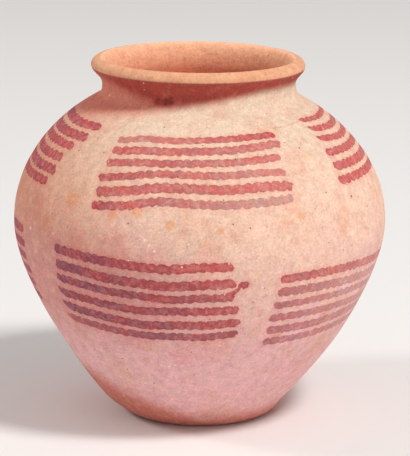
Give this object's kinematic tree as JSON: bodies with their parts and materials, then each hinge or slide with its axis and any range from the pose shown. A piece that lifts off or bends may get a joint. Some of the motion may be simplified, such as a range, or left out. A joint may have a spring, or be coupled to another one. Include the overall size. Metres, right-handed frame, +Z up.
{
  "type": "globular vase",
  "caption": "Hand-built globular storage jar of fired clay with a flat foot, high shoulder, short hollow neck and thick rolled lip, painted with groups of wavy strokes.",
  "frame": {"origin": "middle of the flat foot, on the surface that the jar stands on", "axes": "+Z up the jar's axis to the mouth; -Y faces the camera of the picture"},
  "size_m": [0.24, 0.24, 0.2324],
  "materials": {
    "clay": "unglazed marl clay, smoothed wet and fired buff to pink, with strokes of matt iron-red slip"
  },
  "bodies": {
    "root": {"base_pad": "clay", "wall_coil_01": "clay", "wall_coil_02": "clay", "wall_coil_03": "clay", "wall_coil_04": "clay", "wall_coil_05": "clay", "wall_coil_06": "clay", "wall_coil_07": "clay", "wall_coil_08": "clay", "wall_coil_09": "clay", "wall_coil_10": "clay", "neck_coil": "clay", "rim_coil": "clay"}
  },
  "joints": []
}
